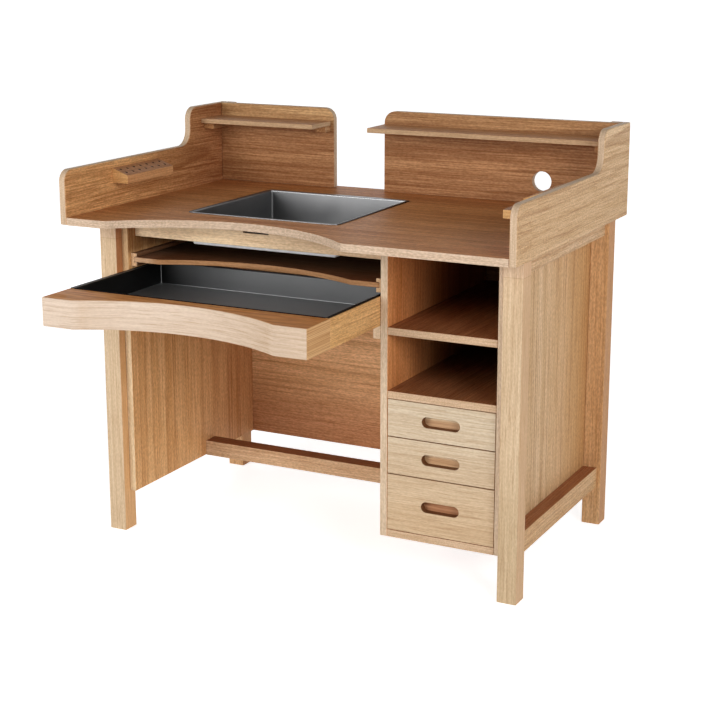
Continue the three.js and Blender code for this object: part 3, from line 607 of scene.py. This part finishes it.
def face_box(material, light, dark, painted_light_tint, height):
    """Gives the box's front and back level grain, in two tones of their own, painted paler from a height up,
    as light.
    """
    tree, socket, colour = colour_of(material)
    source = add_node(tree, "ShaderNodeTexCoord").outputs
    values = {"Place": turned(tree, source["Object"], "xzy"), "Pith": (0.3, 0.45, 0.3), "Ring Width": 0.008,
              "Ring Depth": 0.4, "Waviness": 0.012, "Line Depth": 0.5, "Stave Width": 0.06,
              "Stave Depth": 0.0, "Light": (*light, 1.0), "Dark": (*dark, 1.0)}
    wall = add_node(tree, "ShaderNodeGroup", values, node_tree=oak_figure).outputs["Color"]
    tint_rise = 0.007
    # Painted light: the wall seen through the slot is paler from the slot's middle up.
    upper = ramp(tree, parts(tree, source["Object"])[2], height, height + tint_rise)
    wall = blend(tree, upper, wall, scaled(tree, wall, painted_light_tint))
    forward = ramp(tree, parts(tree, source["Normal"])[1], -0.4, -0.8)
    tree.links.new(blend(tree, forward, colour, wall), socket)


box_tones = ((0.50, 0.28, 0.14), (0.36, 0.18, 0.08))
# The box walls seen through the slots: the bottom drawer's tones are darker, as painted shade, and each has a
# tint for its painted light at the top.
box_walls = {"bottom": ((0.61, 0.31, 0.16), (0.38, 0.165, 0.078), (1.2, 1.2, 1.2)),
             "middle": ((0.74, 0.475, 0.265), (0.49, 0.272, 0.137), (1.38, 1.62, 1.9)),
             "top": ((0.71, 0.455, 0.257), (0.47, 0.262, 0.136), (1.34, 1.62, 1.82))}
for drawer, wall_tones in box_walls.items():
    # Painted shade: the fronts darken towards the floor.
    small_front_oak = oak(f"{drawer}_front_oak", "xzy", light=(0.705, 0.605, 0.455),
                          dark=(0.57, 0.445, 0.305), pith=(0.65, 0.38, 0.12), edge=box_tones, ring=0.014,
                          depth=0.25, lines=0.25, pores=0.4,
                          shades=[shade((0.92, 0.8, 0.68), along="z", start=0.42, end=0.12)])
    slot_centre = np.mean(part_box(f"{drawer}_drawer_front"), axis=0)
    paint_slot_shade(small_front_oak, slot_centre)
    dress([f"{drawer}_drawer_front"], small_front_oak, arris=0.0007, segments=2)
    box_oak = oak(f"{drawer}_box_oak", "yzx", *box_tones, pith=(0.45, 0.4, 0.25), ring=0.008, pores=0.25)
    face_box(box_oak, *wall_tones, height=slot_centre[2])
    dress([f"{drawer}_drawer_{piece}" for piece in ("box", "bottom", "strip_left", "strip_right")], box_oak,
          arris=0.0006, segments=2)


# Drawer liner
# A tray folded from dark sheet steel that drops into the catch drawer and hangs by a rim along its
# sides and back. The folds have a small radius and the corners are welded. The outside is near black,
# and the rim is painted near black as shade. The fold into the floor and the inner corners carry painted
# highlights, the floor is painted paler as light, and the walls darker towards the left as shade.

def make_steel(name, light, dark, highlight_tone, rough, left_shade=None, floor=None):
    """Lightly brushed sheet steel: fine lines along x, smudges that change its tone and gloss, painted
    highlights on folds.

    A given shade along x says where the tone grows from a painted shade at the left, where it stops, and
    its factors there. A floor has a further factor, a painted light, and is less of a metal than the walls.
    """
    material, tree, shader = new_material(name)
    source = add_node(tree, "ShaderNodeTexCoord").outputs
    brushed = noise(tree, source["Object"], (6.0, 900.0, 900.0), 2.0)
    smudges = noise(tree, source["Object"], (9.0, 9.0, 9.0), 3.0)
    # Painted highlights on the folds and corners, read from the mesh.
    painted_highlight = add_node(tree, "ShaderNodeAttribute", attribute_name="painted_highlight").outputs["Fac"]
    shader.inputs["Metallic"].default_value = 1.0
    tone = blend(tree, smudges, dark, light)
    # Painted shade at the left.
    if left_shade:
        tone = vector_maths(tree, "MULTIPLY", tone, ramp(tree, parts(tree, source["Object"])[0], *left_shade))
    # Painted light on the floor: its tone times its factor.
    if floor:
        floor_light, floor_metal = floor
        upward = parts(tree, source["Normal"])[2]
        tone = vector_maths(tree, "MULTIPLY", tone, ramp(tree, upward, 0.6, 0.95, 1.0, floor_light))
        tree.links.new(ramp(tree, upward, 0.6, 0.95, 1.0, floor_metal), shader.inputs["Metallic"])
    tone = blend(tree, maths(tree, "MULTIPLY", painted_highlight, 0.5), tone, highlight_tone)
    gloss = maths(tree, "MULTIPLY_ADD", smudges, 0.2, rough - 0.1)
    gloss = maths(tree, "MULTIPLY_ADD", painted_highlight, -0.08, gloss)
    relief = {"Height": brushed, "Strength": 0.08, "Distance": 0.0002}
    bump = add_node(tree, "ShaderNodeBump", relief).outputs["Normal"]
    for socket, value in (("Base Color", tone), ("Roughness", gloss), ("Normal", bump)):
        tree.links.new(value, shader.inputs[socket])
    return material


def rounded_plans(low, high, radius, turn):
    """Level rounded rectangles, one a row: quarter circles about four centres, a radius in from the sides.

    The turn is each point's direction from its centre, for each quarter from the right-hand side round.
    """
    at_right, at_back = np.array([True, False, False, True]), np.array([True, True, False, False])
    centre_x = np.where(at_right, high[:, :1] - radius, low[:, :1] + radius)[:, :, None]
    centre_y = np.where(at_back, high[:, 1:] - radius, low[:, 1:] + radius)[:, :, None]
    reach = radius[:, :, None]
    plans = np.stack([centre_x + reach * np.cos(turn), centre_y + reach * np.sin(turn)], -1)
    return plans.reshape(len(low), -1, 2)


def ring_faces(rows, around):
    """The quads between closed rings: each joins two neighbours on a ring to the same two on the next."""
    row, column = np.meshgrid(np.arange(rows - 1), np.arange(around), indexing="ij")
    near, far = row * around + column, row * around + (column + 1) % around
    return np.stack([near, far, far + around, near + around], -1).reshape(-1, 4)


def smooth_object(name, points, faces):
    """A new object at the origin, of points and faces that are shaded smooth."""
    mesh = bpy.data.meshes.new(name)
    mesh.from_pydata(points.tolist(), [], faces)
    mesh.shade_smooth()
    piece = bpy.data.objects.new(name, mesh)
    bpy.context.scene.collection.objects.link(piece)
    return piece


def folded_tray(name, low, high, lip, corner, lip_corner, shaded_rim, corner_highlight, sheet=0.0015, bend=0.002,
                steps=5, corner_steps=8):
    """A tray of sheet metal as rings round its plan, from under its floor, over the lip and down inside.

    Each ring is a rounded rectangle at one height. Its distance in from the body's outer face, negative
    on the lip, follows the folded section: straight runs joined by quarter circles of the bend radius,
    larger by the sheet's thickness on the outer side of a fold. The lip is given for left, right, front
    and back. The materials are those of the inside, the outside and the dark rim, a painted shade, which
    may run along the left and right, and along the front and back. The folds carry painted highlights,
    and the corners a painted highlight of the given strength.
    """
    quarter = np.linspace(0, math.pi / 2, steps + 1)
    outer, rim, under = bend + sheet, max(lip), high[2] - sheet
    easing, inner_corner = 0.3 * sheet, 0.2 * corner
    inset = np.concatenate([outer - outer * np.sin(quarter), bend * (np.cos(quarter) - 1),
                            [easing - rim, -rim, -rim, easing - rim],
                            sheet - outer + outer * np.sin(quarter), outer - bend * np.cos(quarter)])[:, None]
    level = np.concatenate([low[2] + outer - outer * np.cos(quarter), under - bend + bend * np.sin(quarter),
                            [under, under + easing, high[2] - easing, high[2]],
                            high[2] - outer + outer * np.cos(quarter),
                            low[2] + outer - bend * np.sin(quarter)])
    out, inward = np.maximum(-inset, 0.0), np.maximum(inset, 0.0)
    ring_low = np.array([low[0] + lip[0], low[1] + lip[2]]) + inward - np.minimum(out, (lip[0], lip[2]))
    ring_high = np.array([high[0] - lip[1], high[1] - lip[3]]) - inward + np.minimum(out, (lip[1], lip[3]))
    radius = corner + (lip_corner - corner) * out / rim + (inner_corner - corner) * inward / outer
    turn = (np.arange(4)[:, None] + np.linspace(0, 1, corner_steps + 1)) * math.pi / 2
    plans = rounded_plans(ring_low, ring_high, radius, turn)
    count, around = plans.shape[:2]
    points = np.concatenate([plans.reshape(-1, 2), np.repeat(level, around)[:, None]], -1)
    bottom, floor = list(range(around))[::-1], list(range((count - 1) * around, count * around))
    tray = smooth_object(name, points, ring_faces(count, around).tolist() + [bottom, floor])
    tray.data.set_sharp_from_angle(angle=math.radians(50))

    row = np.arange(count)[:, None]
    # Painted highlights along the folds and the lip, and up the inner corners.
    lip_highlight = [0.3, 1.0, 1.0, 0.3]
    rim_start = 2 * steps + 1
    rim_end = rim_start + len(lip_highlight) + 1
    fold = np.concatenate([[0.0], np.ones(steps - 1), [0.0]])
    highlight_rows = np.concatenate([fold, 0.0 * fold, lip_highlight, fold, fold])[:, None]
    # Where the dark rim runs, as painted shade.
    dark = np.where(abs(np.cos(turn)) > abs(np.sin(turn)), *shaded_rim).ravel()
    fold_highlights = highlight_rows * np.where(row > rim_end + steps, 1, 1 - dark)
    corner_profile = np.tile(1 - abs(np.linspace(-1, 1, corner_steps + 1)), 4)
    painted_highlight = np.maximum(fold_highlights, corner_highlight * corner_profile * (row >= rim_end))
    tray.data.attributes.new("painted_highlight", "FLOAT", "POINT").data.foreach_set("value", painted_highlight.ravel())

    inside, outside, rim_shade = 0, 1, 2
    on_rim = np.where(dark + np.roll(dark, -1) > 1, rim_shade, inside)
    finish = np.where(row[:-1] < rim_start, outside, np.where(row[:-1] < rim_end, on_rim, inside))
    finish = np.append(finish, (outside, inside)).astype(np.int32)
    tray.data.polygons.foreach_set("material_index", finish)
    return tray


liner_rim = 0.010
liner = folded_tray("folded_liner", *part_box("drawer_liner"), lip=(liner_rim, liner_rim, 0.0, liner_rim),
                    corner=0.003, lip_corner=0.001, shaded_rim=(1, 1), corner_highlight=1.0)
liner_steel = make_steel("liner_steel", light=(0.118, 0.119, 0.12), dark=(0.078, 0.079, 0.08),
                         highlight_tone=(0.34, 0.345, 0.35), rough=0.42, left_shade=(-0.45, -0.17, 0.36, 0.9),
                         floor=(2.7, 0.35))
liner_outside = make_steel("liner_outside", light=(0.016, 0.016, 0.017), dark=(0.010, 0.010, 0.011),
                           highlight_tone=(0.05, 0.05, 0.05), rough=0.55)
# The outside's near-black material also paints the rim's shade.
for steel in (liner_steel, liner_outside, liner_outside):
    liner.data.materials.append(steel)
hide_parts("drawer_liner")
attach(liner, "catch_drawer")


# Worktop pan
# A square tray folded from bright sheet steel, with a zinc coat outside. Its lip lies on the worktop
# round the opening, so it lifts straight out. Along the two sides the lip is painted dark, as shade; its
# folds, front and back lip and corners carry painted highlights, and its walls are painted darker
# towards the left, as shade.

def make_zinc(name):
    """A pale zinc coat: the flat crystals it sets in, each with its own tone and gloss, over a fine grain."""
    material, tree, shader = new_material(name)
    place = add_node(tree, "ShaderNodeTexCoord").outputs["Object"]
    crystals = add_node(tree, "ShaderNodeTexVoronoi", {"Vector": place, "Scale": 85.0}).outputs["Color"]
    patches = add_node(tree, "ShaderNodeSeparateColor", {0: crystals}).outputs[0]
    fine = noise(tree, place, (900.0, 900.0, 900.0), 1.0)
    tone = blend(tree, patches, (0.88, 0.885, 0.89), (0.98, 0.98, 0.98))
    gloss = maths(tree, "MULTIPLY_ADD", patches, 0.2, 0.4)
    relief = {"Height": fine, "Strength": 0.1, "Distance": 0.0002}
    bump = add_node(tree, "ShaderNodeBump", relief).outputs["Normal"]
    for socket, value in (("Base Color", tone), ("Roughness", gloss), ("Normal", bump)):
        tree.links.new(value, shader.inputs[socket])
    return material


pan_lip = 0.0095
pan = folded_tray("folded_pan", *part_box("worktop_pan"), lip=(pan_lip,) * 4, corner=0.008, lip_corner=0.0175,
                  shaded_rim=(1, 0), corner_highlight=0.35)
pan_steel = make_steel("pan_steel", light=(0.2, 0.201, 0.203), dark=(0.13, 0.131, 0.133),
                       highlight_tone=(0.38, 0.385, 0.39), rough=0.34, left_shade=(-0.345, -0.15, 0.8, 1.06))
# Painted shade on the lip along the two sides.
pan_rim_shade = make_steel("pan_rim_shade", light=(0.035, 0.033, 0.032), dark=(0.02, 0.019, 0.018),
                     highlight_tone=(0.08, 0.08, 0.08), rough=0.45)
for steel in (pan_steel, make_zinc("pan_outside"), pan_rim_shade):
    pan.data.materials.append(steel)
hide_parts("worktop_pan")
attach(pan, "worktop_pan")


# Floor and backdrop
# A pale studio sweep, painted matt: a round floor that curves up into a wall on every side. The camera
# and polished metal see it near white, and it still takes the bench's shadow.

floor_radius, wall_height, sweep_radius = 6.5, 4.2, 1.2
floor_glow, seen_glow = 0.19, 0.55


def sweep_surface(floor, height, curve, turns=96, steps=12):
    """A profile turned about the z axis: flat out to the curve, a quarter circle, then straight up."""
    quarter = np.linspace(0, math.pi / 2, steps)
    reach = np.concatenate([[1.0], floor - curve + curve * np.sin(quarter), [floor]])
    level = np.concatenate([[0.0], curve - curve * np.cos(quarter), [height]])
    angle = np.linspace(0, 2 * math.pi, turns, endpoint=False)
    points = np.stack([np.outer(reach, np.cos(angle)), np.outer(reach, np.sin(angle)),
                       np.repeat(level[:, None], turns, 1)], -1).reshape(-1, 3)
    inward_faces = ring_faces(len(reach), turns)[:, ::-1]
    return points, inward_faces.tolist() + [list(range(turns))]


def seen_rays(tree):
    """1 for what the camera sees straight, in gloss or through glass, and 0 for light on its way."""
    rays = add_node(tree, "ShaderNodeLightPath").outputs
    seen = maths(tree, "MAXIMUM", rays["Is Camera Ray"], rays["Is Glossy Ray"])
    return maths(tree, "MAXIMUM", seen, rays["Is Transmission Ray"])


floor = smooth_object("floor", *sweep_surface(floor_radius, wall_height, sweep_radius))
floor_paint, tree, shader = new_material("floor_paint")
shader.inputs["Base Color"].default_value = (0.8, 0.8, 0.8, 1.0)
shader.inputs["Roughness"].default_value = 0.9
shader.inputs["Emission Color"].default_value = (1.0, 1.0, 1.0, 1.0)
glow = maths(tree, "MULTIPLY_ADD", seen_rays(tree), seen_glow, floor_glow)
tree.links.new(glow, shader.inputs["Emission Strength"])
floor.data.materials.append(floor_paint)


# Lights and camera
# A large softbox at the right, one in front and a weak one behind, with a dim even room that shows
# white. The camera stands at the photograph's place.

def softbox(name, place, size, watts, target=(0.0, 0.0, 0.55), glossy=True):
    """A square area light that faces its target. A lamp that is not glossy gives light but no highlights."""
    lamp = bpy.data.lights.new(name, "AREA")
    lamp.shape = "SQUARE"
    lamp.size = size
    lamp.energy = watts
    lamp_object = bpy.data.objects.new(name, lamp)
    lamp_object.location = place
    aim = np.subtract(target, place)
    level = math.hypot(aim[0], aim[1])
    lamp_object.rotation_euler = (math.atan2(level, -aim[2]), 0.0, math.atan2(aim[1], aim[0]) - math.pi / 2)
    lamp_object.visible_glossy = glossy
    bpy.context.scene.collection.objects.link(lamp_object)


softbox("right_softbox", (3.6, -2.6, 2.1), size=1.8, watts=87)
softbox("front_softbox", (-1.6, -3.5, 1.5), size=1.8, watts=68)
softbox("back_softbox", (-2.6, 3.8, 1.9), size=1.8, watts=26, glossy=False)

room_light = 0.07
room = bpy.data.worlds.new("room")
room.use_nodes = True
walls = room.node_tree.nodes["Background"]
walls.inputs["Color"].default_value = (1.0, 1.0, 1.0, 1.0)
strength = maths(room.node_tree, "MULTIPLY_ADD", seen_rays(room.node_tree), 1.0 - room_light, room_light)
room.node_tree.links.new(strength, walls.inputs["Strength"])
bpy.context.scene.world = room

camera_pitch, camera_turn = 13.44, 26.81
camera = bpy.data.cameras.new("camera")
camera.sensor_width = 36
camera.lens = 80.71
camera.shift_y = -0.05
camera_object = bpy.data.objects.new("camera", camera)
camera_object.location = (1.7486, -3.2979, 1.4467)
camera_object.rotation_euler = (math.radians(90 - camera_pitch), 0.0, math.radians(camera_turn))
bpy.context.scene.collection.objects.link(camera_object)
bpy.context.scene.camera = camera_object
bpy.context.scene.view_settings.view_transform = "Standard"
